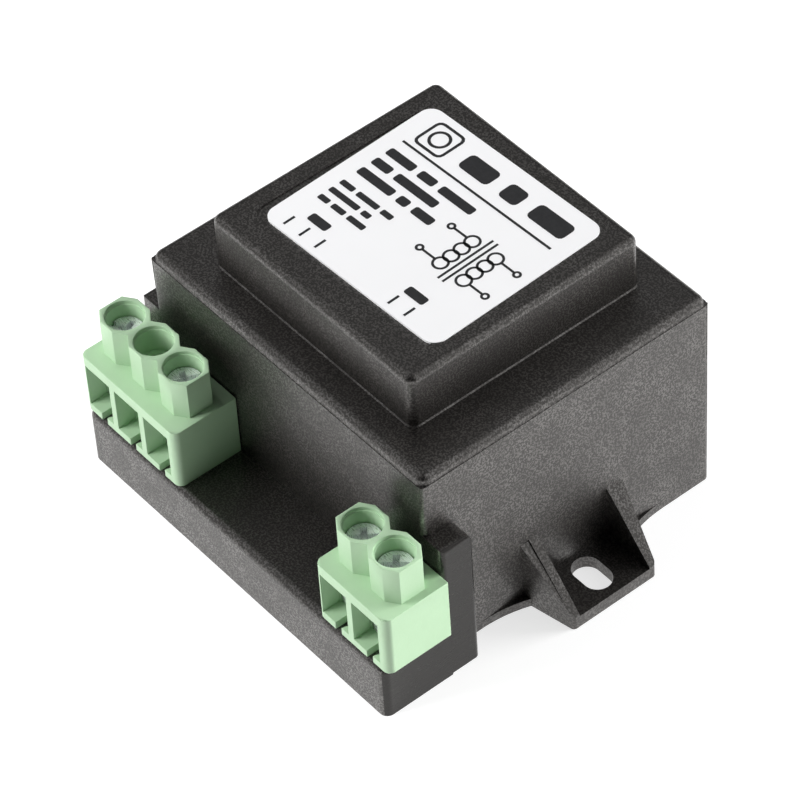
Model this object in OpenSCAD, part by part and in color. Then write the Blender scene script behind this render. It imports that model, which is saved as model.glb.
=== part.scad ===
// Potted chassis-mount transformer with two screw terminal blocks.
// Millimetres. X runs along the terminal row, -Y is the terminal side, Z is up.
// The origin is on the base, at the middle of the overall length and width.

/* [Core] */
// Width of the core's outer limbs, the unit of its proportions
core_limb = 5; // [4:0.1:6]
// Thickness of the stack of laminations
core_stack = 16; // [12:0.5:20]
// Height of the core's lower side over the base
core_bottom = 1.5; // [1:0.1:4]

/* [Coil] */
// How far the bobbin's flanges reach past the core, front and back
flange_reach = 5; // [4:0.1:8]
// Thickness of the bobbin's tube and flanges
bobbin_wall = 0.7; // [0.4:0.05:1]
// Gap between the bobbin and the core
bobbin_gap = 0.15; // [0.05:0.01:0.3]
// How far each winding stays below the flanges' edge
winding_inset = 0.7; // [0.3:0.05:1.5]
// Thickness of the tape over each winding
tape_thickness = 0.25; // [0.1:0.05:0.4]
// Diameter of the insulated leads
lead_d = 0.9; // [0.6:0.05:1.2]
// Gap between leads that cross
lead_gap = 0.1; // [0.08:0.01:0.2]

/* [Case] */
// Wall thickness of the moulding
wall = 1.8; // [1.2:0.1:2.2]
// Room for resin beside the core, left and right
resin_side = 1.7; // [0.5:0.1:4]
// Room for resin beside the coil, front and back
resin_front = 0.35; // [0.2:0.05:3]
// Room for resin over the core
resin_top = 0.75; // [0.3:0.05:3]
// How far the resin's surface stays inside the case's rim
resin_recess = 0.6; // [0.2:0.1:1]
// Height of the main block
body_height = 27.15; // [24:0.05:30]
// Width of the ledge beside the raised top, left and right
ledge_side = 6.05; // [3:0.05:10]
// Width of the ledge beside the raised top, front and back
ledge_front = 4; // [3:0.05:8]
// Radius of the main block's upright corners
body_corner = 0.3; // [0.2:0.05:1.5]
// Height of the band above the main block's parting line
band_height = 1.1; // [1:0.05:1.6]
// How far the band stays inside the walls below it
band_inset = 0.15; // [0.05:0.05:0.4]
// Radius of the band's upright corners
band_corner = 1; // [1:0.1:3]
// Radius of the band's top edges
band_edge = 0.95; // [0.3:0.05:1]
// Radius of the raised top's upright corners
top_corner = 1; // [1:0.1:3]
// Radius of the raised top's upper edges
top_edge = 0.9; // [0.3:0.05:1]

/* [Shelf] */
// Height of the terminal shelf
shelf_height = 7.35; // [6:0.05:10]
// How far the shelf reaches past the main block at each end
shelf_overhang = 2.7; // [1.5:0.05:5]
// Radius of the shelf's upright front corners
shelf_corner = 1; // [0.5:0.1:2]
// Radius of the shelf's top edges
shelf_edge = 0.9; // [0.3:0.05:1.5]
// Depth of the buttress at each end of the shelf
buttress_depth = 4.2; // [3:0.1:7]
// Height of the buttresses
buttress_height = 18.9; // [12:0.1:22]
// How far a buttress stays inside the shelf's end
buttress_inset = 0.15; // [0.05:0.05:0.8]
// Radius of a buttress's upper rear edge
buttress_round = 1.6; // [0.5:0.1:2.5]
// Radius of a buttress's other edges
buttress_edge = 0.6; // [0.2:0.05:0.8]

/* [Lugs] */
// How far a lug reaches from the main block
lug_reach = 6.55; // [5.5:0.05:10]
// Width of a lug at its outer end
lug_tip_width = 11.3; // [8:0.05:14]
// Width of a lug where it meets the main block
lug_root_width = 13.9; // [11:0.05:18]
// Thickness of a lug's plate
lug_plate = 1.6; // [1.2:0.05:3]
// Radius of a lug's outer corners
lug_corner = 0.5; // [0.3:0.05:1]
// Height of the gussets at the main block
gusset_height = 8.8; // [5:0.1:14]
// Height of the gussets over the plate at the lug's end
gusset_tip = 0.15; // [0.05:0.05:0.6]
// Thickness of a gusset at the main block
gusset_root = 2.2; // [1.2:0.05:2.6]
// Thickness of a gusset at the lug's end
gusset_end = 0.85; // [0.5:0.05:1]
// How much lower a gusset's outer strip is
gusset_step = 0.3; // [0.1:0.05:0.8]
// How far a web runs along the main block beside a lug
web_run = 5.8; // [3:0.1:7]
// How far a web stands out from the main block
web_out = 1.05; // [0.5:0.05:2]
// Thickness of a web
web_thickness = 1.1; // [0.6:0.05:1.5]
// Width of the fixing slot
slot_width = 3.3; // [2.5:0.1:4]
// Length of the fixing slot, end to end
slot_length = 5; // [4.2:0.1:6]
// Distance of the slot's middle from the main block
slot_from_body = 2.95; // [2.5:0.05:4]

/* [Label] */
// Width of the label
label_width = 26.4; // [20:0.1:27]
// Depth of the label, front to back
label_depth = 23.5; // [18:0.1:24]
// Radius of the label's corners
label_corner = 1.6; // [0.5:0.1:3]
// Thickness of the label
label_thickness = 0.1; // [0.05:0.01:0.2]
// Turn of the label on the raised top, degrees
label_turn = 2.1; // [-3:0.1:3]
// Shift of the label to the right
label_shift_x = 0.45; // [-0.8:0.05:0.8]
// Shift of the label to the back
label_shift_y = 0.9; // [-1:0.05:1]
// Room that the recess has round the label's size
recess_margin = 0.15; // [0.05:0.05:0.5]
// Depth of the label's recess
recess_drop = 0.15; // [0.05:0.01:0.4]

/* [Terminal blocks] */
// Distance from one terminal to the next
pitch = 5; // [4.8:0.02:6]
// Depth of a terminal block, front to back
block_depth = 8.2; // [7.8:0.05:10]
// Height of a block's lower part
block_height = 8.05; // [7.9:0.05:9]
// Distance of a block's front from the shelf's front
block_setback = 0.15; // [0.05:0.05:1]
// Gap between a block's back and the main block
block_gap = 0.1; // [0.05:0.01:0.5]
// How far a block reaches past its first terminal
block_left = 0.35; // [0.2:0.05:0.8]
// How far a block reaches past its last terminal
block_right = 0.9; // [0.5:0.05:1.5]
// Radius of a block's front corners
block_corner = 0.9; // [0.4:0.05:1.2]
// How far the three-way block reaches past the shelf's end
left_overhang = 0.25; // [0:0.05:0.6]
// How far the two-way block reaches past the shelf's end
right_overhang = 0.85; // [0:0.05:1]
// Height of the screw towers over the lower part
tower_height = 4.8; // [4.4:0.05:6]
// Depth of a tower, front to back
tower_depth = 5; // [4.9:0.05:5.6]
// Length of the flats between neighbouring towers
tower_flat = 3; // [2.6:0.05:3.4]
// Length of a tower's front and back flats
tower_face = 2.1; // [1.6:0.05:2.6]
// Distance of the screws from a block's front
screw_setback = 4.4; // [4.2:0.05:5]
// Thickness of the walls between wire openings
divider = 0.85; // [0.7:0.05:1.1]
// Thickness of the roof over the wire openings
opening_roof = 1.35; // [1:0.05:1.6]
// Thickness of a block's floor
floor_thickness = 1; // [0.8:0.05:1.3]
// Length of the floor's ledge beside each divider
ledge_length = 2; // [1.6:0.05:2.2]
// Radius of the floor's rounded nose at the next divider
nose_radius = 1.2; // [0.8:0.05:1.4]
// Thickness of a block's rear wall
rear_wall = 0.8; // [0.7:0.05:0.9]

/* [Clamps] */
// Width of a clamp cage
cage_width = 3.6; // [3.4:0.05:3.7]
// Depth of a clamp cage, front to back
cage_depth = 4.2; // [3:0.05:4.3]
// Thickness of a cage's base
cage_base = 0.8; // [0.6:0.05:0.9]
// Thickness of a cage's side walls
cage_side = 0.5; // [0.4:0.05:0.6]
// Thickness of a cage's threaded top
cage_nut = 1.4; // [1.2:0.05:1.5]
// Travel of a cage from open to closed
cage_travel = 2.1; // [1.5:0.05:2.2]
// Clearance round a cage and beside its contact
cage_clearance = 0.1; // [0.05:0.01:0.12]
// Thickness of a contact's bar
bar_thickness = 0.8; // [0.6:0.05:0.9]
// Width of a contact's pin
pin_width = 1.2; // [0.8:0.05:1.6]
// Thickness of a contact's upright and pin
pin_thickness = 0.7; // [0.5:0.05:0.8]
// Clearance round a pin in its holes
pin_clearance = 0.05; // [0.03:0.01:0.1]

/* [Screws] */
// Diameter of a screw's head
head_d = 3.8; // [3.6:0.05:3.9]
// Height of a screw's head
head_height = 1.4; // [1.2:0.05:1.5]
// Diameter of a screw's shank
shank_d = 2.9; // [2.5:0.05:2.9]
// Clearance round the head, the shank and the thread
screw_clearance = 0.15; // [0.1:0.01:0.15]
// Thickness of the seat under a screw's head
seat_thickness = 0.8; // [0.6:0.05:1]
// Width of the recess's bars
recess_width = 0.7; // [0.5:0.05:0.9]
// Depth of the slot across the head
slot_depth = 0.55; // [0.3:0.05:0.6]
// Depth of the cross in the head
cross_depth = 0.85; // [0.6:0.05:0.9]
// Length of the cross
cross_length = 2.6; // [2:0.1:3]
// Depth of the wider mouth of each screw bore
mouth_depth = 0.45; // [0.2:0.05:0.8]
// How much wider the mouth is, all round
mouth_step = 0.12; // [0.05:0.01:0.15]

/* [Hidden] */
$fn = 64;
// Cuts run this far past the face that they open
past = 1;

// Core and coil, from the limb's width
core_width = 5 * core_limb;
core_height = 6 * core_limb;
window_length = 3 * core_limb;
coil_z = core_bottom + core_height / 2;
tube_z = 2 * core_limb + 2 * (bobbin_gap + bobbin_wall);
tube_y = core_stack + 2 * (bobbin_gap + bobbin_wall);
flange_z = 4 * core_limb - 2 * bobbin_gap;
flange_y = core_stack + 2 * flange_reach;
bobbin_length = window_length - 2 * bobbin_gap;
chamber = (bobbin_length - 3 * bobbin_wall) / 2;
winding_round = 1.5;
winding_y = flange_y - 2 * winding_inset;
winding_z = flange_z - 2 * winding_inset;

// Case, round the core and coil
top_width = core_width + 2 * (resin_side + wall);
top_depth = flange_y + 2 * (resin_front + wall);
total_height = core_bottom + core_height + resin_top + wall;
body_width = top_width + 2 * ledge_side;
body_depth = top_depth + 2 * ledge_front;
shelf_width = body_width + 2 * shelf_overhang;
shelf_depth = block_setback + block_depth + block_gap;
front_y = -(shelf_depth + body_depth) / 2;
body_front = front_y + shelf_depth;
body_mid = body_front + body_depth / 2;
body_back = body_front + body_depth;
// The shelf's ends run this far behind the main block's front
shelf_return = 0.45;
cavity_corner = 0.6;

// Lugs
lug_root_x = body_width / 2;
lug_tip_x = lug_root_x + lug_reach;
slot_x = lug_root_x + slot_from_body;
lug_lean = atan((lug_root_width - lug_tip_width) / 2 / lug_reach);
web_radius = (web_run * web_run + web_out * web_out) / (2 * web_out);

// Terminal blocks
// Positions of the primary's block and of the secondary's
ways = [3, 2];
block_front = front_y + block_setback;
block_back = block_front + block_depth;
screw_y = block_front + screw_setback;
row_3 = -shelf_width / 2 - left_overhang + block_left;
row_2 = shelf_width / 2 + right_overhang - block_right - ways[1] * pitch;
plate_z = shelf_height + block_height;
rim_z = plate_z + tower_height;
floor_z = shelf_height + floor_thickness;
roof_z = plate_z - opening_roof;

// Clamps, from the block's floor up
bar_width = cage_width - 2 * cage_side - 2 * cage_clearance;
window_z = cage_base + cage_travel + bar_thickness + 2 * cage_clearance;
cage_height = window_z + cage_nut;
bar_top = floor_z + window_z - cage_clearance;
bay_width = cage_width + 2 * cage_clearance;
bay_depth = cage_depth + 2 * cage_clearance;
bay_top = floor_z + cage_height + cage_travel + 2 * cage_clearance;
pin_y = block_back - rear_wall - pin_thickness;
// The pins reach past two crossing leads below the shelf's top wall
lead_step = lead_d + lead_gap;
pin_bottom = shelf_height - wall - 2 * lead_step;
head_z = bay_top + seat_thickness;
shank_tip = bar_top + cage_clearance;

// The populated terminals: two primary, then two secondary
pole_x = [row_3 + pitch / 2, row_3 + 2.5 * pitch, row_2 + pitch / 2, row_2 + 1.5 * pitch];
// Turn of each screw's recess, degrees
pole_turn = [20, 68, 52, 47];
// Where each lead leaves its winding, along the core
lead_x = [for (k = [-0.75, -0.35, 0.35, 0.75]) k * chamber + sign(k) * bobbin_wall / 2];
lead_start_z = coil_z - 0.8 * core_limb;
// The leads to the outer pins cross over the others
lead_low_z = pin_bottom + lead_d / 2;
lead_z = [lead_low_z + lead_step, lead_low_z, lead_low_z, lead_low_z + lead_step];
// Down between the coil and the front wall, then along between that wall and the pins
lead_drop_y = (body_front + wall + body_mid - flange_y / 2) / 2;
lead_run_y = (body_front + wall + pin_y + pin_thickness) / 2;
// Bends are this much thicker than the lead
lead_bend = 1.05;

case_black = [0.17, 0.165, 0.16];
terminal_green = [0.66, 0.85, 0.67];
zinc = [0.75, 0.76, 0.78];

// Rectangle with round corners, centred
module round_rect(w, d, r) {
    square([w - 2 * r, d], center = true);
    square([w, d - 2 * r], center = true);
    for (sx = [-1, 1], sy = [-1, 1])
        translate([sx * (w / 2 - r), sy * (d / 2 - r)])
            circle(r);
}

// Upright outline of a block that stands on 0, with round upper corners
module crown(w, h, r) {
    translate([-w / 2, 0])
        square([w, h - r]);
    translate([r - w / 2, 0])
        square([w - 2 * r, h]);
    for (s = [-1, 1])
        translate([s * (w / 2 - r), h - r])
            circle(r);
}

// Block with round upright corners and round top edges that run on around them, standing on 0
module soft_block(w, d, h, corner, edge) {
    rotate([90, 0, 0])
        linear_extrude(d - 2 * corner, center = true)
            crown(w, h, edge);
    rotate([90, 0, 90])
        linear_extrude(w - 2 * corner, center = true)
            crown(d, h, edge);
    for (sx = [-1, 1], sy = [-1, 1])
        translate([sx * (w / 2 - corner), sy * (d / 2 - corner), 0])
            rotate_extrude()
                intersection() {
                    crown(2 * corner, h, edge);
                    square([corner, h]);
                }
}

// Everything below works at the main block's middle in Y
module at_body() {
    translate([0, body_mid, 0])
        children();
}

// The shelf is the front half of a block twice as deep
module shelf_solid() {
    depth = shelf_depth + shelf_return;
    intersection() {
        translate([0, front_y + depth, 0])
            soft_block(shelf_width, 2 * depth, shelf_height, shelf_corner, shelf_edge);
        translate([-shelf_width, front_y, 0])
            cube([2 * shelf_width, depth, shelf_height]);
    }
}

// Buttress at the right end of the shelf
module buttress() {
    inner_x = body_width / 2 - body_corner;
    width = shelf_width / 2 - buttress_inset - inner_x;
    intersection() {
        translate([inner_x, body_front, 0])
            linear_extrude(buttress_height) {
                translate([0, buttress_edge])
                    square([width, buttress_depth - 2 * buttress_edge]);
                square([width - buttress_edge, buttress_depth]);
                for (y = [buttress_edge, buttress_depth - buttress_edge])
                    translate([width - buttress_edge, y])
                        circle(buttress_edge);
            }
        translate([0, body_front, 0])
            rotate([90, 0, 90])
                linear_extrude(shelf_width)
                    crown(2 * buttress_depth, buttress_height, buttress_round);
        translate([0, body_front + buttress_depth, 0])
            rotate([90, 0, 0])
                linear_extrude(buttress_depth)
                    crown(2 * (inner_x + width), buttress_height, buttress_edge);
    }
}

// Half of a lug's outline, from its middle line to its +Y side
module lug_half_outline() {
    arc_x = lug_tip_x - lug_corner;
    side_y = lug_tip_width / 2 + lug_corner * tan(lug_lean);
    arc_y = side_y - lug_corner / cos(lug_lean);
    polygon([
        [lug_root_x - wall, 0], [lug_tip_x, 0], [lug_tip_x, arc_y], [arc_x, arc_y],
        [arc_x + lug_corner * sin(lug_lean), arc_y + lug_corner * cos(lug_lean)],
        [lug_root_x, lug_root_width / 2], [lug_root_x - wall, lug_root_width / 2]
    ]);
    translate([arc_x, arc_y])
        circle(lug_corner);
}

// Hollow-edged web between a lug and the main block
module web_outline() {
    foot_y = lug_root_width / 2 - web_out * tan(lug_lean);
    difference() {
        translate([lug_root_x - wall, foot_y])
            square([wall + web_out, web_run]);
        translate([lug_root_x + web_radius, foot_y + web_run])
            circle(web_radius, $fn = 96);
    }
}

// Sloping rib over a lug's edge: its inside face, and how far its top is lowered
module gusset_strip(root, end, drop) {
    intersection() {
        linear_extrude(gusset_height)
            intersection() {
                lug_half_outline();
                polygon([
                    [lug_root_x - wall, lug_root_width / 2 - root], [lug_root_x, lug_root_width / 2 - root],
                    [lug_tip_x, lug_tip_width / 2 - end], [lug_tip_x, lug_root_width],
                    [lug_root_x - wall, lug_root_width]
                ]);
            }
        rotate([90, 0, 0])
            linear_extrude(2 * lug_root_width, center = true)
                polygon([
                    [lug_root_x - wall, 0], [lug_tip_x, 0], [lug_tip_x, lug_plate + gusset_tip],
                    [lug_root_x, gusset_height - drop], [lug_root_x - wall, gusset_height - drop]
                ]);
    }
}

module lug_half() {
    linear_extrude(lug_plate)
        lug_half_outline();
    linear_extrude(web_thickness)
        web_outline();
    gusset_strip(gusset_root, gusset_end, gusset_step);
    difference() {
        gusset_strip(gusset_root, gusset_end, 0);
        linear_extrude(gusset_height + past)
            polygon([
                [lug_root_x - wall - past, lug_root_width / 2 - gusset_root / 2],
                [lug_root_x, lug_root_width / 2 - gusset_root / 2],
                [lug_tip_x + past, lug_tip_width / 2],
                [lug_tip_x + past, lug_root_width], [lug_root_x - wall - past, lug_root_width]
            ]);
    }
}

// Slot's outline through the right lug
module slot_outline() {
    run = slot_length - slot_width;
    translate([slot_x, 0]) {
        square([run, slot_width], center = true);
        for (s = [-1, 1])
            translate([s * run / 2, 0])
                circle(d = slot_width);
    }
}

module lug() {
    at_body()
        difference() {
            for (s = [0, 1])
                mirror([0, s, 0])
                    lug_half();
            translate([0, 0, -past])
                linear_extrude(lug_plate + 2 * past)
                    slot_outline();
        }
}

// The hollow inside the case, with its floor at a height that the caller gives
module cavity(bottom) {
    at_body() {
        translate([0, 0, bottom])
            linear_extrude(body_height - wall - bottom)
                round_rect(body_width - 2 * wall, body_depth - 2 * wall, cavity_corner);
        translate([0, 0, bottom])
            linear_extrude(total_height - wall - bottom)
                round_rect(top_width - 2 * wall, top_depth - 2 * wall, cavity_corner);
    }
    translate([0, front_y + wall + shelf_depth / 2, bottom])
        linear_extrude(shelf_height - wall - bottom)
            round_rect(shelf_width - 2 * wall, shelf_depth, cavity_corner);
}

// The label's place: its own shift and turn on the raised top
module at_label() {
    translate([label_shift_x, body_mid + label_shift_y, total_height])
        rotate(label_turn)
            children();
}

module recess() {
    at_body()
        translate([0, 0, total_height - recess_drop])
            linear_extrude(recess_drop + past)
                round_rect(label_width + 2 * recess_margin, label_depth + 2 * recess_margin, label_corner);
}

// Upright hole for a contact's pin
module pin_hole(i, z, h) {
    translate([pole_x[i] - pin_width / 2 - pin_clearance, pin_y - pin_clearance, z])
        cube([pin_width + 2 * pin_clearance, pin_thickness + 2 * pin_clearance, h]);
}

// The main block, with the band at its top that the other half of the mould forms
module main_block() {
    linear_extrude(body_height - band_height)
        round_rect(body_width, body_depth, body_corner);
    soft_block(body_width - 2 * band_inset, body_depth - 2 * band_inset, body_height, band_corner, band_edge);
}

module case() {
    color(case_black)
        difference() {
            union() {
                at_body() {
                    main_block();
                    translate([0, 0, body_height])
                        soft_block(top_width, top_depth, total_height - body_height, top_corner, top_edge);
                }
                shelf_solid();
                for (s = [0, 1])
                    mirror([s, 0, 0]) {
                        buttress();
                        lug();
                    }
            }
            cavity(-past);
            recess();
            for (i = [0:3])
                pin_hole(i, 0, shelf_height + past);
        }
}

module label() {
    color("white") {
        at_label()
            linear_extrude(label_thickness)
                round_rect(label_width, label_depth, label_corner);
        intersection() {
            recess();
            at_label()
                translate([0, 0, -recess_drop])
                    linear_extrude(recess_drop)
                        round_rect(label_width, label_depth, label_corner);
        }
    }
}

// Places its children at the coil's middle, with the coil's axis upright in their frame
module on_coil_axis() {
    translate([0, body_mid, coil_z])
        rotate([90, 0, 90])
            children();
}

// Core, seen along the stack, with its back at the left
module core_e() {
    color([0.45, 0.45, 0.47])
        at_body()
            rotate([90, 0, 0])
                linear_extrude(core_stack, center = true)
                    difference() {
                        translate([-core_width / 2, core_bottom])
                            square([core_width - core_limb, core_height]);
                        for (k = [1, 4])
                            translate([-core_width / 2 + core_limb, core_bottom + k * core_limb])
                                square([window_length + past, core_limb]);
                    }
}

module core_i() {
    color([0.45, 0.45, 0.47])
        at_body()
            translate([core_width / 2 - core_limb, -core_stack / 2, core_bottom])
                cube([core_limb, core_stack, core_height]);
}

module bobbin() {
    color([0.85, 0.85, 0.8])
        on_coil_axis()
            difference() {
                union() {
                    linear_extrude(bobbin_length, center = true)
                        square([tube_y, tube_z], center = true);
                    for (k = [-1, 0, 1])
                        translate([0, 0, k * (bobbin_length - bobbin_wall) / 2])
                            linear_extrude(bobbin_wall, center = true)
                                square([flange_y, flange_z], center = true);
                }
                linear_extrude(bobbin_length + 2 * past, center = true)
                    square([tube_y - 2 * bobbin_wall, tube_z - 2 * bobbin_wall], center = true);
            }
}

// One layer round the bobbin's tube: side is -1 for the primary, 1 for the secondary
module coil_layer(side, inner_y, inner_z, outer_y, outer_z, inner_round, outer_round) {
    on_coil_axis()
        translate([0, 0, side * (chamber + bobbin_wall) / 2])
            linear_extrude(chamber, center = true)
                difference() {
                    round_rect(outer_y, outer_z, outer_round);
                    if (inner_round > 0)
                        round_rect(inner_y, inner_z, inner_round);
                    else
                        square([inner_y, inner_z], center = true);
                }
}

module winding(side) {
    color([0.72, 0.42, 0.22])
        coil_layer(side, tube_y, tube_z, winding_y, winding_z, 0, winding_round);
}

module tape(side) {
    color([0.9, 0.78, 0.3])
        coil_layer(side, winding_y, winding_z, winding_y + 2 * tape_thickness, winding_z + 2 * tape_thickness,
                   winding_round, winding_round + tape_thickness);
}

// Round bar from a to b
module rod(a, b, d) {
    v = b - a;
    translate(a)
        rotate([0, acos(v.z / norm(v)), atan2(v.y, v.x)])
            cylinder(h = norm(v), d = d);
}

// Lead from the front of the tape, down and along under the shelf, to the side of a pin
module lead(i, shade) {
    tape_front = body_mid - winding_y / 2 - tape_thickness;
    route = [
        [lead_x[i], tape_front, lead_start_z],
        [lead_x[i], lead_drop_y, lead_start_z],
        [lead_x[i], lead_drop_y, lead_z[i]],
        [lead_x[i], lead_run_y, lead_z[i]],
        [pole_x[i], lead_run_y, lead_z[i]],
        [pole_x[i], pin_y + pin_thickness, lead_z[i]]
    ];
    color(shade) {
        for (k = [0:4])
            rod(route[k], route[k + 1], lead_d);
        for (k = [1:4])
            translate(route[k])
                sphere(d = lead_d * lead_bend);
    }
}

module potting_resin() {
    color([0.12, 0.12, 0.13])
        difference() {
            cavity(resin_recess);
            core_e();
            core_i();
            bobbin();
            for (side = [-1, 1]) {
                winding(side);
                tape(side);
            }
            for (i = [0:3]) {
                lead(i, "black");
                contact(i);
            }
        }
}

// Outline of a row of screw towers, centred front to back on the screws
module tower_row(n) {
    side = pitch / 2;
    flat = tower_flat / 2;
    face = tower_face / 2;
    reach = tower_depth / 2;
    for (k = [0:n - 1])
        translate([(k + 0.5) * pitch, 0])
            polygon([
                [side, flat], [face, reach], [-face, reach], [-side, flat],
                [-side, -flat], [-face, -reach], [face, -reach], [side, -flat]
            ]);
}

// Plan outline of a block, from its first terminal's edge, with round front corners
module block_outline(n) {
    left = -block_left;
    width = n * pitch + block_left + block_right;
    translate([left, block_corner])
        square([width, block_depth - block_corner]);
    translate([left + block_corner, 0])
        square([width - 2 * block_corner, block_depth]);
    for (x = [left + block_corner, left + width - block_corner])
        translate([x, block_corner])
            circle(block_corner);
}

// Hollow for one terminal, at its middle: wire opening, cage bay, pin space, screw bore
module terminal_hollow() {
    opening = pitch - divider;
    bay_front = screw_setback - bay_depth / 2;
    bore_d = head_d + 2 * screw_clearance;
    translate([-opening / 2, -past, floor_z])
        cube([opening, bay_front + past, roof_z - floor_z]);
    translate([-bay_width / 2, bay_front, floor_z])
        cube([bay_width, bay_depth, bay_top - floor_z]);
    translate([-bay_width / 2, bay_front, floor_z])
        cube([bay_width, block_depth - rear_wall - bay_front, bar_top - floor_z]);
    translate([0, screw_setback, bay_top - past])
        cylinder(h = seat_thickness + 2 * past, d = shank_d + 2 * screw_clearance);
    translate([0, screw_setback, head_z])
        cylinder(h = rim_z - head_z + past, d = bore_d);
    translate([0, screw_setback, rim_z - mouth_depth])
        cylinder(h = mouth_depth + past, d = bore_d + 2 * mouth_step);
    // Gap in the floor between the ledge and the rounded nose of the next divider
    translate([0, 0, shelf_height - past])
        linear_extrude(floor_thickness + past + cage_clearance)
            difference() {
                translate([-opening / 2 + ledge_length, -past])
                    square([opening - ledge_length, bay_front + past]);
                translate([opening / 2, 0])
                    circle(nose_radius);
            }
}

module terminal_block(n, row) {
    color(terminal_green)
        difference() {
            translate([row, block_front, 0]) {
                translate([0, 0, shelf_height])
                    linear_extrude(block_height)
                        block_outline(n);
                translate([0, screw_setback, plate_z - past])
                    linear_extrude(tower_height + past)
                        tower_row(n);
            }
            for (k = [0:n - 1])
                translate([row + (k + 0.5) * pitch, block_front, 0])
                    terminal_hollow();
            for (i = [0:3])
                pin_hole(i, shelf_height - past, floor_thickness + 2 * past);
        }
}

// Contact: bar through the cage, upright on the block's floor, solder pin below
module contact(i) {
    bar_front = screw_y - cage_depth / 2;
    color(zinc)
        translate([pole_x[i], 0, 0]) {
            translate([-bar_width / 2, bar_front, bar_top - bar_thickness])
                cube([bar_width, pin_y + pin_thickness - bar_front, bar_thickness]);
            translate([-bar_width / 2, pin_y, floor_z])
                cube([bar_width, pin_thickness, bar_top - floor_z]);
            translate([-pin_width / 2, pin_y, pin_bottom])
                cube([pin_width, pin_thickness, floor_z - pin_bottom]);
        }
}

// Rising cage, open: it stands on the block's floor
module cage(i) {
    flute = cage_travel + cage_clearance;
    color(zinc)
        translate([pole_x[i], screw_y, floor_z])
            difference() {
                translate([-cage_width / 2, -cage_depth / 2, 0])
                    cube([cage_width, cage_depth, cage_height]);
                translate([-cage_width / 2 + cage_side, -cage_depth / 2 - past, cage_base])
                    cube([cage_width - 2 * cage_side, cage_depth + 2 * past, window_z - cage_base]);
                // The screw's way through the top, and between the side walls as the cage rises
                translate([0, 0, window_z - flute])
                    cylinder(h = flute + cage_nut + past, d = shank_d + screw_clearance);
            }
}

// Screw with a slot across its head and a shorter cross
module screw(i) {
    head_top = head_z + head_height;
    color(zinc)
        translate([pole_x[i], screw_y, 0])
            rotate(pole_turn[i])
                difference() {
                    union() {
                        translate([0, 0, head_z])
                            cylinder(h = head_height, d = head_d);
                        translate([0, 0, shank_tip])
                            cylinder(h = head_z + past / 2 - shank_tip, d = shank_d);
                    }
                    translate([-head_d, -recess_width / 2, head_top - slot_depth])
                        cube([2 * head_d, recess_width, slot_depth + past]);
                    for (turn = [0, 90])
                        rotate(turn)
                            translate([-cross_length / 2, -recess_width / 2, head_top - cross_depth])
                                cube([cross_length, recess_width, cross_depth + past]);
                }
}

case();
potting_resin();
label();  // rating_label
core_e();  // core_e_stack
core_i();  // core_i_stack
bobbin();
winding(-1);  // primary_winding
winding(1);  // secondary_winding
tape(-1);  // primary_tape
tape(1);  // secondary_tape
lead(0, "brown");  // primary_lead_a
lead(1, "royalblue");  // primary_lead_b
lead(2, "red");  // secondary_lead_a
lead(3, "darkred");  // secondary_lead_b
terminal_block(ways[0], row_3);  // terminal_block_3way
terminal_block(ways[1], row_2);  // terminal_block_2way
contact(0);  // primary_contact_a
contact(1);  // primary_contact_b
contact(2);  // secondary_contact_a
contact(3);  // secondary_contact_b
cage(0);  // primary_cage_a
cage(1);  // primary_cage_b
cage(2);  // secondary_cage_a
cage(3);  // secondary_cage_b
screw(0);  // primary_screw_a
screw(1);  // primary_screw_b
screw(2);  // secondary_screw_a
screw(3);  // secondary_screw_b
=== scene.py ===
from math import cos, radians, sin

import bpy
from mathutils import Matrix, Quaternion, Vector


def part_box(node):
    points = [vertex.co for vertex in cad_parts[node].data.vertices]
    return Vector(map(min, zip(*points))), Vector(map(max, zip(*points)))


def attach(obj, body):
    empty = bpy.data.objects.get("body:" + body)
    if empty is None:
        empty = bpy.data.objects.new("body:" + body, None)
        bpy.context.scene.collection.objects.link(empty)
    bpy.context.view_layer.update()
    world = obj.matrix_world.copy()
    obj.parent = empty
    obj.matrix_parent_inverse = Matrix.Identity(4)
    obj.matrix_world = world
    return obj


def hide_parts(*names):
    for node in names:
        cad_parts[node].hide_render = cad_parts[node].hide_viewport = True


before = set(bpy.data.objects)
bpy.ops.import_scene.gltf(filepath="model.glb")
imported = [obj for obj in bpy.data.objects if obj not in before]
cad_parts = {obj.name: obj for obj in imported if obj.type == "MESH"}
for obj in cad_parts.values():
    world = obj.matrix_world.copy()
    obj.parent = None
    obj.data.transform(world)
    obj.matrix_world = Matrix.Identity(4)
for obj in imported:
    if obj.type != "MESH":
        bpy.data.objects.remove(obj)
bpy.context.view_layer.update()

# Core: thin E and I sheets of silicon steel, pressed into a stack through the bobbin.
# The sheets' cut edges show as fine lines along the stack.
MM = 0.001
SHEET = 0.35 * MM


def set_socket(tree, socket, value):
    """Links an output to a socket, or sets the socket's own value."""
    if isinstance(value, bpy.types.NodeSocket):
        tree.links.new(value, socket)
    else:
        socket.default_value = value


def add_node(tree, kind, inputs=(), **settings):
    """A new node with its settings, and its inputs set or linked."""
    node = tree.nodes.new(kind)
    for name, value in settings.items():
        setattr(node, name, value)
    for name, value in dict(inputs).items():
        set_socket(tree, node.inputs[name], value)
    return node


def new_finish(name, **plain):
    """A material, its node tree, its shader, and where a point is on the object."""
    finish = bpy.data.materials.new(name)
    finish.use_nodes = True
    tree = finish.node_tree
    shader = tree.nodes["Principled BSDF"]
    for key, value in plain.items():
        shader.inputs[key.replace("_", " ")].default_value = value
    place = add_node(tree, "ShaderNodeTexCoord").outputs["Object"]
    return finish, tree, shader, place


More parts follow.
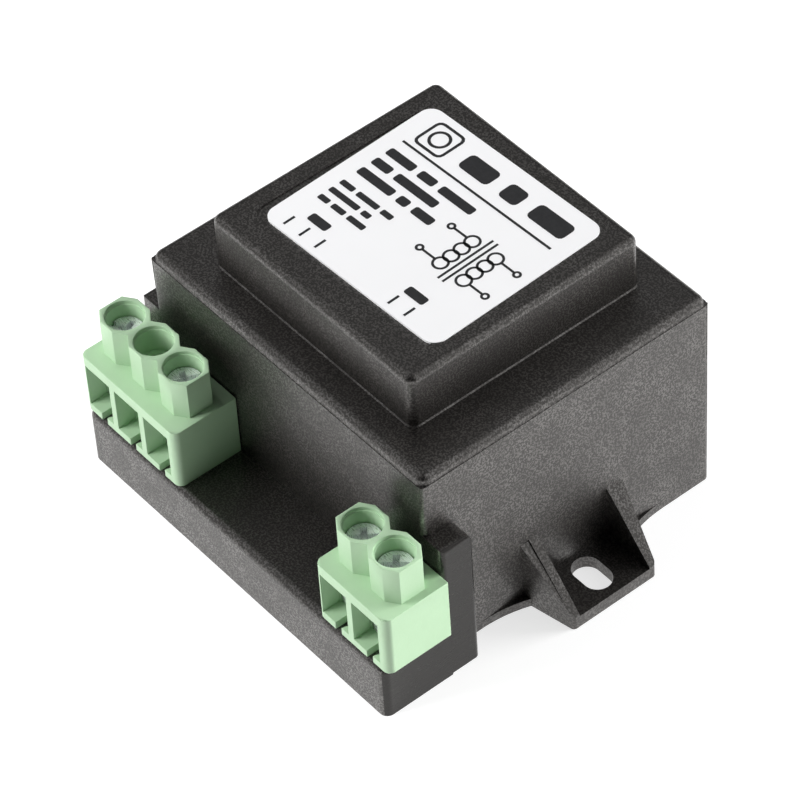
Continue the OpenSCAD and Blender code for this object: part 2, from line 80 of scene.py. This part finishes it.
def noise(tree, place, scale, detail=2.0, roughness=0.5):
    """Smooth random values, scale spots to the metre."""
    return add_node(tree, "ShaderNodeTexNoise", {
        "Vector": place, "Scale": scale, "Detail": detail, "Roughness": roughness}).outputs["Fac"]


def maths(tree, operation, first, second=0.0):
    """One sum or comparison of two values."""
    node = add_node(tree, "ShaderNodeMath", operation=operation)
    set_socket(tree, node.inputs[0], first)
    set_socket(tree, node.inputs[1], second)
    return node.outputs[0]


def remap(tree, value, low, high, to_low=0.0, to_high=1.0):
    """Takes low to high over to another range, with soft ends."""
    return add_node(tree, "ShaderNodeMapRange", {
        "Value": value, "From Min": low, "From Max": high, "To Min": to_low, "To Max": to_high},
        interpolation_type="SMOOTHSTEP").outputs["Result"]


def mix_colour(tree, share, first, second):
    """The first colour at a share of 0, the second at 1."""
    node = add_node(tree, "ShaderNodeMix", data_type="RGBA")
    for index, value in ((0, share), (6, first), (7, second)):
        set_socket(tree, node.inputs[index], value)
    return node.outputs[2]


def bump(tree, height, depth):
    """A surface that rises by the depth where the height is 1."""
    return add_node(tree, "ShaderNodeBump", {
        "Height": height, "Distance": depth, "Strength": 1.0}).outputs["Normal"]


def dress(names, finish):
    """Puts a finish on carried-over solids."""
    for name in names:
        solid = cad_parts[name]
        solid.data.materials.clear()
        solid.data.materials.append(finish)


lamination, tree, shader, place = new_finish("lamination_steel", Metallic=1.0)
along = add_node(tree, "ShaderNodeSeparateXYZ", {"Vector": place}).outputs["Y"]
sheet_edge = remap(tree, maths(tree, "PINGPONG", along, SHEET / 2), 0.0, SHEET / 8)
oxide = noise(tree, place, 900.0, 4.0, 0.6)
steel = mix_colour(tree, oxide, (0.20, 0.20, 0.21, 1), (0.36, 0.36, 0.38, 1))
set_socket(tree, shader.inputs["Base Color"], mix_colour(tree, sheet_edge, (0.05, 0.05, 0.05, 1), steel))
set_socket(tree, shader.inputs["Roughness"], remap(tree, oxide, 0.3, 0.7, 0.35, 0.55))
set_socket(tree, shader.inputs["Normal"], bump(tree, sheet_edge, 0.03 * MM))
dress(("core_e_stack", "core_i_stack"), lamination)

# Bobbin: moulded in one piece from pale glass-filled nylon, with a flange between its two chambers.
# It slides over the middle limb of the core; the glass fibres give it a fine mottle.
bobbin_nylon, tree, shader, place = new_finish("bobbin_nylon", Roughness=0.5)
fibre = noise(tree, place, 2600.0, 3.0, 0.6)
set_socket(tree, shader.inputs["Base Color"],
           mix_colour(tree, fibre, (0.60, 0.60, 0.54, 1), (0.72, 0.72, 0.66, 1)))
set_socket(tree, shader.inputs["Normal"], bump(tree, fibre, 0.01 * MM))
dress(("bobbin",), bobbin_nylon)

# Windings: layers of enamelled copper wire, laid side by side along the bobbin.
# The secondary's wire is thicker than the primary's.
for name, wire in (("primary_winding", 0.12 * MM), ("secondary_winding", 0.3 * MM)):
    enamel, tree, shader, place = new_finish(name + "_enamel", Metallic=1.0, Roughness=0.3)
    along = add_node(tree, "ShaderNodeSeparateXYZ", {"Vector": place}).outputs["X"]
    turn = remap(tree, maths(tree, "PINGPONG", along, wire / 2), 0.0, wire / 3)
    # The colour darkens towards the edges of each turn: painted shade in the grooves between the wires.
    set_socket(tree, shader.inputs["Base Color"],
               mix_colour(tree, turn, (0.16, 0.06, 0.02, 1), (0.60, 0.24, 0.09, 1)))
    set_socket(tree, shader.inputs["Normal"], bump(tree, turn, wire / 3))
    dress((name,), enamel)

# Tape: thin yellow polyester film, wound over each finished winding.
# Its own glue holds it, and it creases a little as it is pulled tight.
tape_film, tree, shader, place = new_finish("tape_film", Roughness=0.25)
crease = noise(tree, place, 500.0, 3.0, 0.5)
set_socket(tree, shader.inputs["Base Color"],
           mix_colour(tree, crease, (0.70, 0.50, 0.06, 1), (0.82, 0.62, 0.12, 1)))
set_socket(tree, shader.inputs["Normal"], bump(tree, crease, 0.04 * MM))
dress(("primary_tape", "secondary_tape"), tape_film)

# Leads: stranded copper in soft coloured insulation, soldered to the terminals' pins.
# Brown and blue go to the primary, red to the secondary.
BROWN, BLUE, RED = (0.11, 0.035, 0.012, 1), (0.02, 0.07, 0.45, 1), (0.45, 0.015, 0.012, 1)
for name, colour in (("primary_lead_a", BROWN), ("primary_lead_b", BLUE),
                     ("secondary_lead_a", RED), ("secondary_lead_b", RED)):
    insulation, tree, shader, place = new_finish(name + "_insulation", Roughness=0.45)
    cloud = noise(tree, place, 1500.0, 3.0)
    darker = tuple(0.8 * part for part in colour[:3]) + (1,)
    set_socket(tree, shader.inputs["Base Color"], mix_colour(tree, cloud, darker, colour))
    set_socket(tree, shader.inputs["Normal"], bump(tree, cloud, 0.02 * MM))
    dress((name,), insulation)

# Case: one moulding in black glass-filled nylon, from a spark-eroded tool that leaves a fine grain.
# The ends of the terminal shelf come from a polished slide and are smoother.
# It is a copy of the solid with rounder upright corners and a finer step at the parting line.
BODY_SIDE, BODY_FRONT, BODY_REACH = 22.05, -14.925, 19.15
LEDGE, PARTING, TOP_MIDDLE = 27.15, 26.05, 4.225
SOLID_CORNER, CORNER = 0.3, 0.75
SOLID_STEP, SET_BACK, STEP = 0.15, 0.1, 0.06
SHELF_END, BUTTRESS_BACK = 24.3 * MM, -9.0 * MM
TOUCH = 0.01
ROUND_BELOW = radians(32)
WARM = (1.0, 0.955, 0.915, 1)
mould_grain = bpy.data.node_groups.new("mould_grain", "ShaderNodeTree")
for socket, kind in (("Place", "NodeSocketVector"), ("Grains per metre", "NodeSocketFloat")):
    mould_grain.interface.new_socket(socket, in_out="INPUT", socket_type=kind)
for socket in ("Height", "Fleck", "Cloud"):
    mould_grain.interface.new_socket(socket, in_out="OUTPUT", socket_type="NodeSocketFloat")
given = mould_grain.nodes.new("NodeGroupInput").outputs
put_out = mould_grain.nodes.new("NodeGroupOutput").inputs
spot, fineness = given["Place"], given["Grains per metre"]
fine = noise(mould_grain, spot, fineness, 2.0, 0.6)
coarse = noise(mould_grain, spot, maths(mould_grain, "MULTIPLY", fineness, 0.4), 2.0)
cloud = noise(mould_grain, spot, maths(mould_grain, "MULTIPLY", fineness, 0.06), 4.0)
mould_grain.links.new(maths(mould_grain, "ADD", maths(mould_grain, "MULTIPLY", fine, 0.6),
                            maths(mould_grain, "MULTIPLY", coarse, 0.4)), put_out["Height"])
mould_grain.links.new(remap(mould_grain, fine, 0.49, 0.56), put_out["Fleck"])
mould_grain.links.new(remap(mould_grain, cloud, 0.3, 0.7), put_out["Cloud"])


def grain_of(tree, place, per_metre):
    """The height, flecks and clouds of a moulded grain."""
    node = add_node(tree, "ShaderNodeGroup", node_tree=mould_grain)
    set_socket(tree, node.inputs["Place"], place)
    node.inputs["Grains per metre"].default_value = per_metre
    return node.outputs


eroded, tree, shader, place = new_finish(
    "eroded_black_plastic", IOR=1.6, Specular_IOR_Level=0.76, Specular_Tint=WARM,
    Coat_IOR=1.95, Coat_Roughness=0.3, Coat_Tint=WARM)
grain = grain_of(tree, place, 4500.0)
black = mix_colour(tree, grain["Cloud"], (0.0020, 0.0019, 0.0018, 1), (0.0036, 0.0034, 0.0032, 1))
set_socket(tree, shader.inputs["Base Color"],
           mix_colour(tree, grain["Fleck"], black, (0.011, 0.0102, 0.0094, 1)))
patchy = remap(tree, grain["Cloud"], 0.0, 1.0, 0.6, 1.0)
set_socket(tree, shader.inputs["Coat Weight"], maths(tree, "MULTIPLY", grain["Fleck"], patchy))
set_socket(tree, shader.inputs["Roughness"], remap(tree, grain["Fleck"], 0.0, 1.0, 0.36, 0.5))
set_socket(tree, shader.inputs["Normal"], bump(tree, grain["Height"], 0.05 * MM))
polished, tree, shader, place = new_finish(
    "polished_black_plastic", IOR=1.5, Specular_IOR_Level=0.42, Specular_Tint=WARM)
drawn_out = add_node(tree, "ShaderNodeMapping", {
    "Vector": place, "Scale": (1.0, 0.35, 1.6), "Rotation": (0.9, 0.0, 0.0)}).outputs["Vector"]
scuff = noise(tree, drawn_out, 700.0, 5.0, 0.65)
scratched = remap(tree, scuff, 0.62, 0.74)
set_socket(tree, shader.inputs["Base Color"],
           mix_colour(tree, scratched, (0.0060, 0.0056, 0.0053, 1), (0.030, 0.028, 0.026, 1)))
set_socket(tree, shader.inputs["Roughness"], remap(tree, scuff, 0.3, 0.7, 0.22, 0.34))
set_socket(tree, shader.inputs["Normal"], bump(tree, scuff, 0.01 * MM))


def merged_copy(node, piece):
    """A copy of a solid in millimetres, its faces joined at their edges, left in edit mode."""
    bpy.ops.object.select_all(action="DESELECT")
    made = bpy.data.objects.new(piece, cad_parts[node].data.copy())
    bpy.context.scene.collection.objects.link(made)
    made.data.materials.clear()
    bpy.context.view_layer.objects.active = made
    made.select_set(True)
    bpy.ops.mesh.customdata_custom_splitnormals_clear()
    bpy.ops.object.mode_set(mode="EDIT")
    bpy.ops.mesh.select_mode(type="EDGE")
    bpy.ops.mesh.select_all(action="SELECT")
    bpy.ops.transform.resize(value=(1 / MM,) * 3, center_override=(0, 0, 0))
    bpy.ops.mesh.remove_doubles(threshold=0.001)
    return made


def finish_copy(made):
    """Brings a copy back to metres and shades it: round faces smooth, flat faces flat."""
    bpy.ops.mesh.select_all(action="SELECT")
    bpy.ops.transform.resize(value=(MM,) * 3, center_override=(0, 0, 0))
    bpy.ops.object.mode_set(mode="OBJECT")
    bpy.ops.object.shade_smooth_by_angle(angle=ROUND_BELOW)
    made.modifiers.new("flats", "WEIGHTED_NORMAL").keep_sharp = True
    bpy.ops.object.modifier_apply(modifier="flats")


case = merged_copy("case", "moulded_case")
low, high = (Vector(corner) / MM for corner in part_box("case"))
bpy.ops.mesh.select_mode(type="VERT")
rounder = CORNER / SOLID_CORNER
for x in (-BODY_SIDE, BODY_SIDE):
    for y in (BODY_FRONT, high.y):
        bpy.ops.mesh.select_all(action="DESELECT")
        bpy.ops.object.mode_set(mode="OBJECT")
        for point in case.data.vertices:
            point.select = max(abs(point.co.x - x), abs(point.co.y - y)) < SOLID_CORNER + TOUCH
        bpy.ops.object.mode_set(mode="EDIT")
        bpy.ops.transform.resize(value=(rounder, rounder, 1), center_override=(x, y, 0))
bpy.ops.mesh.select_all(action="DESELECT")
bpy.ops.object.mode_set(mode="OBJECT")
for point in case.data.vertices:
    behind_step = (abs(point.co.x) < BODY_SIDE - SET_BACK
                   and abs(point.co.y - TOP_MIDDLE) < BODY_REACH - SET_BACK)
    point.select = abs(point.co.z - PARTING) < TOUCH and behind_step
bpy.ops.object.mode_set(mode="EDIT")
wider = (BODY_SIDE - STEP) / (BODY_SIDE - SOLID_STEP)
deeper = (BODY_REACH - STEP) / (BODY_REACH - SOLID_STEP)
bpy.ops.transform.resize(value=(wider, deeper, 1), center_override=(0, TOP_MIDDLE, 0))
finish_copy(case)
case.data.materials.append(eroded)
case.data.materials.append(polished)
for face in case.data.polygons:
    face.material_index = int(abs(face.center.x) > SHELF_END and face.center.y < BUTTRESS_BACK)
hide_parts("case")
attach(case, "housing")

# Flash line: the fine bead that the mould leaves round the foot of the raised top.
# It is the case's own plastic, squeezed out between two blocks of the tool.
TOP_WIDTH, TOP_DEPTH, TOP_CORNER = 32.0, 30.3, 1.0
BEAD = 0.14
bpy.ops.object.select_all(action="DESELECT")
bpy.ops.mesh.primitive_plane_add(size=1, location=(0, TOP_MIDDLE, LEDGE))
bead = bpy.context.object
bead.name = "flash_line"
bpy.ops.object.transform_apply()
bpy.ops.object.mode_set(mode="EDIT")
bpy.ops.mesh.select_mode(type="FACE")
bpy.ops.transform.resize(value=(TOP_WIDTH + 2 * BEAD, TOP_DEPTH + 2 * BEAD, 1),
                         center_override=(0, TOP_MIDDLE, 0))
bpy.ops.mesh.bevel(offset=TOP_CORNER + BEAD, segments=8, affect="VERTICES")
bpy.ops.mesh.inset(thickness=1.5 * BEAD, depth=1.5 * BEAD)
bpy.ops.mesh.delete(type="FACE")
bpy.ops.mesh.select_all(action="SELECT")
bpy.ops.transform.resize(value=(MM,) * 3, center_override=(0, 0, 0))
bpy.ops.object.mode_set(mode="OBJECT")
bead.data.materials.append(eroded)
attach(bead, "housing")

# Potting resin: dark epoxy, poured in from below over the core and windings.
# It sets with a smooth, slightly wavy face just inside the rim.
resin, tree, shader, place = new_finish("potting_epoxy", Roughness=0.3)
flow = noise(tree, place, 220.0, 3.0)
set_socket(tree, shader.inputs["Base Color"],
           mix_colour(tree, flow, (0.008, 0.008, 0.009, 1), (0.018, 0.018, 0.02, 1)))
set_socket(tree, shader.inputs["Normal"], bump(tree, flow, 0.3 * MM))
dress(("potting_resin",), resin)

# Label: white polyester film with round corners, stuck over the recess of the raised top.
# Its face is lower than the solid's by the thickness of the ink.
INK = 0.012 * MM
label_film, tree, shader, place = new_finish("label_film", Roughness=0.35)
cloud = noise(tree, place, 120.0, 3.0)
set_socket(tree, shader.inputs["Base Color"],
           mix_colour(tree, cloud, (0.84, 0.84, 0.85, 1), (0.88, 0.88, 0.89, 1)))
set_socket(tree, shader.inputs["Normal"], bump(tree, cloud, 0.05 * MM))
low, high = (Vector(corner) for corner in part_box("rating_label"))
label = merged_copy("rating_label", "label")
bpy.ops.mesh.bisect(plane_co=(0, 0, (high.z - INK) / MM), plane_no=(0, 0, 1),
                    use_fill=True, clear_outer=True, threshold=1e-5)
finish_copy(label)
label.data.materials.append(label_film)
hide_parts("rating_label")
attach(label, "housing")

# Label print: black ink, laid out in millimetres from the label's middle and turned with the label.
# Bars stand for words, rules and ticks for the scales, and two coils beside a core for the circuit.
LABEL_TURN = radians(2.1)


def ink_bar(along, across, width, height, corner=0.0):
    """A bar about its middle, with round corners if asked."""
    bpy.ops.mesh.primitive_plane_add(size=1, location=(along, across, 0))
    bpy.ops.transform.resize(value=(width, height, 1), center_override=(along, across, 0))
    if corner:
        bpy.ops.mesh.bevel(offset=corner, segments=3, affect="VERTICES")


def ink_words(along, across, height, widths):
    """A row of bars with a word's gap between them."""
    for width in widths:
        ink_bar(along + width / 2, across, width, height, height / 4)
        along += width + 0.7 * height


def ink_ring(along, across, radius, line):
    """A ring with its line inside the radius."""
    bpy.ops.mesh.primitive_circle_add(vertices=40, radius=radius, location=(along, across, 0))
    bpy.ops.mesh.extrude_edges_move()
    bpy.ops.transform.resize(value=((radius - line) / radius,) * 2 + (1,), center_override=(along, across, 0))


bpy.ops.object.select_all(action="DESELECT")
bpy.ops.mesh.primitive_plane_add(size=1)
ink = bpy.context.object
ink.name = "label_print"
bpy.ops.object.mode_set(mode="EDIT")
bpy.ops.mesh.select_mode(type="VERT")
bpy.ops.transform.resize(value=(22.4, 0.3, 1), center_override=(0, 0, 0))
bpy.ops.transform.translate(value=(0, 5.9, 0))
ink_bar(-8.6, 8.7, 4.2, 4.2, 0.8)
bpy.ops.mesh.inset(thickness=0.35)
bpy.ops.mesh.delete(type="ONLY_FACE")
ink_ring(-8.6, 8.7, 1.3, 0.35)
ink_words(-4.6, 8.6, 2.4, (4.4, 2.6, 5.2))
for across, widths in ((3.9, (4.0, 2.4, 5.0)), (1.9, (2.6, 6.2)), (-0.1, (5.2, 1.5, 2.9))):
    ink_words(-11.2, across, 1.15, widths)
for across, widths in ((-2.6, (2.0, 3.2, 1.6)), (-4.1, (4.4, 1.2)), (-5.6, (1.5, 1.9, 2.5))):
    ink_words(-11.2, across, 0.75, widths)
for side in (-1, 1):
    ink_bar(6.6 + 0.35 * side, -1.2, 0.28, 7.6)
    for turn in range(4):
        ink_ring(6.6 + 1.75 * side, 1.0 - 1.45 * turn, 0.95, 0.28)
    for lead in (1.0, -3.35):
        ink_bar(6.6 + 3.6 * side, lead, 1.8, 0.28)
        ink_ring(6.6 + 4.9 * side, lead, 0.5, 0.28)
for tick in (-10.6, -8.2, -5.8, 5.4, 7.8):
    ink_bar(tick, -10.2, 0.3, 1.5)
ink_words(-9.6, -8.2, 1.15, (2.8,))
ink_words(5.2, -8.2, 1.15, (2.8,))
bpy.ops.mesh.select_all(action="SELECT")
bpy.ops.mesh.extrude_region_move(TRANSFORM_OT_translate={"value": (0, 0, -0.9 * INK / MM)})
bpy.ops.mesh.select_all(action="SELECT")
bpy.ops.mesh.normals_make_consistent(inside=False)
bpy.ops.transform.rotate(value=-LABEL_TURN, orient_axis="Z", center_override=(0, 0, 0))
bpy.ops.transform.resize(value=(MM,) * 3, center_override=(0, 0, 0))
bpy.ops.transform.translate(value=((low.x + high.x) / 2, (low.y + high.y) / 2, high.z))
bpy.ops.object.mode_set(mode="OBJECT")
print_ink, tree, shader, place = new_finish("print_ink", Roughness=0.5)
speckle = noise(tree, place, 3000.0, 3.0, 0.6)
set_socket(tree, shader.inputs["Base Color"],
           mix_colour(tree, speckle, (0.010, 0.010, 0.011, 1), (0.032, 0.032, 0.034, 1)))
ink.data.materials.append(print_ink)
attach(ink, "housing")

# Terminal blocks: pale green nylon mouldings with soft edges, one tower for each screw.
# They stand on the shelf, and their solder pins hold them. In the solids the corners of each clamp's
# bay break through the feet of the towers; the moulding is whole there, so those windows are closed.
SCREW_ROW, PLATE = -18.825, 15.4
TOWERS = (-22.15, -17.15, -12.15, 17.2, 22.2)
BAY_X, BAY_Y = 1.9, 2.2
WINDOW_X, WINDOW_Y, WINDOW_REACH, WINDOW_TOP = 1.6925, 2.057, 0.27, 0.55
BLOCK_EDGE = 0.1


def outer_edges(mesh):
    """Selects the sharp edges that stick out and don't run into an inner corner."""
    beside = {}
    for face in mesh.polygons:
        for key in face.edge_keys:
            beside.setdefault(key, []).append(face)
    outer, inner = [], set()
    for line in mesh.edges:
        if len(beside[line.key]) != 2:
            inner.update(line.vertices)
            continue
        start = mesh.vertices[line.vertices[0]].co
        first, second = beside[line.key]
        away = max((mesh.vertices[index].co - start for index in second.vertices),
                   key=lambda step: abs(step.dot(first.normal)))
        if first.normal.angle(second.normal, 0.0) > ROUND_BELOW:
            if away.dot(first.normal) < 0:
                outer.append(line)
            else:
                inner.update(line.vertices)
    spots = [tuple(round(value, 2) for value in point.co.xy) for point in mesh.vertices]
    columns = {spots[index] for index in inner}
    for line in outer:
        foot, head = (spots[index] for index in line.vertices)
        over_inner_corner = foot == head and foot in columns
        line.select = not over_inner_corner and not inner.intersection(line.vertices)


def close_windows(made):
    """Fills each window in a tower's slanting sides, and the notch in the plate below it."""
    bpy.ops.mesh.select_mode(type="VERT")
    for tower in TOWERS:
        for x, y in ((-1, -1), (-1, 1), (1, -1), (1, 1)):
            middle = Vector((tower + x * WINDOW_X, SCREW_ROW + y * WINDOW_Y))
            bay_corner = Vector((tower + x * BAY_X, SCREW_ROW + y * BAY_Y))
            for hole in ("window", "notch"):
                bpy.ops.mesh.select_all(action="DESELECT")
                bpy.ops.object.mode_set(mode="OBJECT")
                for point in made.data.vertices:
                    near = (point.co.xy - middle).length < WINDOW_REACH
                    level = PLATE - TOUCH < point.co.z < PLATE + WINDOW_TOP + TOUCH
                    if hole == "window":
                        round_hole = (point.co.xy - bay_corner).length > 0.05
                    else:
                        round_hole = point.co.z < PLATE + TOUCH
                    point.select = near and level and round_hole
                bpy.ops.object.mode_set(mode="EDIT")
                if made.data.total_vert_sel > 2:
                    bpy.ops.mesh.edge_face_add()
    bpy.ops.mesh.select_mode(type="EDGE")


def soften(made, edge):
    """Rounds the outer edges of a copy and finishes it."""
    bpy.ops.mesh.select_all(action="DESELECT")
    bpy.ops.object.mode_set(mode="OBJECT")
    outer_edges(made.data)
    bpy.ops.object.mode_set(mode="EDIT")
    bpy.ops.mesh.bevel(offset=edge, segments=2, affect="EDGES", clamp_overlap=False)
    finish_copy(made)


terminal_nylon, tree, shader, place = new_finish("terminal_nylon", Specular_IOR_Level=0.5)
grain = grain_of(tree, place, 3000.0)
set_socket(tree, shader.inputs["Base Color"],
           mix_colour(tree, grain["Cloud"], (0.435, 0.625, 0.41, 1), (0.47, 0.67, 0.445, 1)))
set_socket(tree, shader.inputs["Roughness"], remap(tree, grain["Height"], 0.3, 0.7, 0.36, 0.46))
set_socket(tree, shader.inputs["Normal"], bump(tree, grain["Height"], 0.012 * MM))
for name in ("terminal_block_3way", "terminal_block_2way"):
    block = merged_copy(name, "green_" + name)
    close_windows(block)
    soften(block, BLOCK_EDGE)
    block.data.materials.append(terminal_nylon)
    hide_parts(name)
    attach(block, "housing")

# Contacts: tinned brass strip, pressed into each block and bent down into a solder pin.
# The clamp's cage pulls the wire up against the strip.
tinned, tree, shader, place = new_finish("tinned_brass", Metallic=1.0)
tin = noise(tree, place, 1800.0, 3.0, 0.6)
set_socket(tree, shader.inputs["Base Color"],
           mix_colour(tree, tin, (0.52, 0.50, 0.46, 1), (0.70, 0.68, 0.63, 1)))
set_socket(tree, shader.inputs["Roughness"], remap(tree, tin, 0.3, 0.7, 0.25, 0.4))
dress(("primary_contact_a", "primary_contact_b", "secondary_contact_a", "secondary_contact_b"), tinned)

# Clamp cages and screws: zinc-plated steel. Each screw has a slot across its head and a shorter cross.
# The screw is held in its tower, and its thread draws the cage up the bay. The cage's upright corners
# are rounder than the solid's, so that it clears the slanting sides of the tower.
CAGE_EDGE, CAGE_CORNER, SCREW_EDGE = 0.06, 0.25, 0.07


def round_uprights(made, radius):
    """Rounds the upright outer corners of a cage."""
    bpy.ops.mesh.select_all(action="DESELECT")
    bpy.ops.object.mode_set(mode="OBJECT")
    points = made.data.vertices
    sides = [[end(point.co[axis] for point in points) for end in (min, max)] for axis in (0, 1)]
    for line in made.data.edges:
        foot, head = (points[index].co for index in line.vertices)
        at_corner = all(min(abs(foot[axis] - side) for side in sides[axis]) < 0.001 for axis in (0, 1))
        line.select = at_corner and (foot.xy - head.xy).length < 0.001
    bpy.ops.object.mode_set(mode="EDIT")
    bpy.ops.mesh.bevel(offset=radius, segments=3, affect="EDGES", clamp_overlap=False)


zinc, tree, shader, place = new_finish("zinc_plated_steel")
plating = noise(tree, place, 1400.0, 4.0, 0.6)
drawn_out = add_node(tree, "ShaderNodeMapping", {
    "Vector": place, "Scale": (1.0, 9.0, 1.0), "Rotation": (0.0, 0.0, 0.6)}).outputs["Vector"]
scratch = noise(tree, drawn_out, 1500.0, 3.0, 0.7)
set_socket(tree, shader.inputs["Base Color"],
           mix_colour(tree, plating, (0.88, 0.90, 0.93, 1), (0.96, 0.97, 0.98, 1)))
set_socket(tree, shader.inputs["Metallic"], remap(tree, plating, 0.35, 0.65, 0.25, 0.7))
set_socket(tree, shader.inputs["Roughness"], remap(tree, scratch, 0.3, 0.7, 0.2, 0.45))
set_socket(tree, shader.inputs["Normal"], bump(tree, scratch, 0.008 * MM))
for side in ("primary", "secondary"):
    for letter in ("a", "b"):
        for kind, edge in (("cage", CAGE_EDGE), ("screw", SCREW_EDGE)):
            name = "%s_%s_%s" % (side, kind, letter)
            piece = merged_copy(name, "zinc_" + name)
            bpy.ops.mesh.dissolve_limited(angle_limit=radians(0.4))
            if kind == "cage":
                round_uprights(piece, CAGE_CORNER)
            soften(piece, edge)
            piece.data.materials.append(zinc)
            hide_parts(name)
            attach(piece, name + "_body")

# Studio: a white paper floor, three lights that only matt surfaces show, and four wide sheets that
# shiny ones mirror. The camera looks down on the terminal corner through a long lens.
CAMERA_TURN, CAMERA_RISE, CAMERA_ROLL = radians(53.405), radians(46.419), radians(-4.178)
CAMERA_DISTANCE, LAMP_DISTANCE = 473.82 * MM, 600 * MM
PAPER_GLOW, PAPER_SEEN = 0.285, 0.42
aim = Vector((-0.624, 0.124, 10.639)) * MM
back = Vector((sin(CAMERA_TURN) * cos(CAMERA_RISE), -cos(CAMERA_TURN) * cos(CAMERA_RISE), sin(CAMERA_RISE)))
turn = (-back).to_track_quat("-Z", "Y") @ Quaternion((0, 0, 1), CAMERA_ROLL)
bpy.ops.object.camera_add(location=aim + back * CAMERA_DISTANCE)
camera = bpy.context.object
camera.name = "photo_camera"
camera.rotation_mode = "QUATERNION"
camera.rotation_quaternion = turn
camera.data.sensor_width = 36.0
camera.data.lens = 202.88
camera.data.clip_start = 0.01
bpy.context.scene.camera = camera

bpy.ops.mesh.primitive_plane_add(size=3.0, location=(0, 0, -0.02 * MM))
floor = bpy.context.object
floor.name = "floor"
paper, tree, shader, place = new_finish("white_paper", Roughness=0.9)
shader.inputs["Base Color"].default_value = (0.5, 0.5, 0.5, 1)
rays = add_node(tree, "ShaderNodeLightPath").outputs
mirrored = maths(tree, "MAXIMUM", rays["Is Glossy Ray"], rays["Is Transmission Ray"])
seen = maths(tree, "MAXIMUM", rays["Is Camera Ray"], mirrored)
shader.inputs["Emission Color"].default_value = (1, 1, 1, 1)
set_socket(tree, shader.inputs["Emission Strength"],
           maths(tree, "ADD", maths(tree, "MULTIPLY", seen, PAPER_SEEN), PAPER_GLOW))
floor.data.materials.append(paper)

world = bpy.data.worlds.new("studio")
world.use_nodes = True
world.node_tree.nodes["Background"].inputs["Color"].default_value = (0.95, 0.97, 1.0, 1)
world.node_tree.nodes["Background"].inputs["Strength"].default_value = 0.04
bpy.context.scene.world = world
for name, azimuth, elevation, size, power, mirrored in (
        ("key_light", 63, 5, 0.3, 10.0, False),
        ("left_light", 180, 12, 0.3, 1.83, False),
        ("front_light", 240, 30, 0.3, 3.52, False),
        ("right_sheet", 48, 30, 0.6, 1.26, True),
        ("front_sheet", 225, 30, 0.6, 0.58, True),
        ("back_sheet", 143, 60, 0.6, 0.36, True),
        ("top_sheet", 235, 65, 0.6, 0.22, True)):
    azimuth, elevation = radians(azimuth), radians(elevation)
    direction = Vector((cos(azimuth) * cos(elevation), sin(azimuth) * cos(elevation), sin(elevation)))
    bpy.ops.object.light_add(type="AREA", location=aim + direction * LAMP_DISTANCE)
    lamp = bpy.context.object
    lamp.name = name
    lamp.visible_glossy = mirrored
    lamp.rotation_euler = direction.to_track_quat("Z", "Y").to_euler()
    lamp.data.size = size
    lamp.data.energy = power
bpy.context.scene.view_settings.view_transform = "Standard"
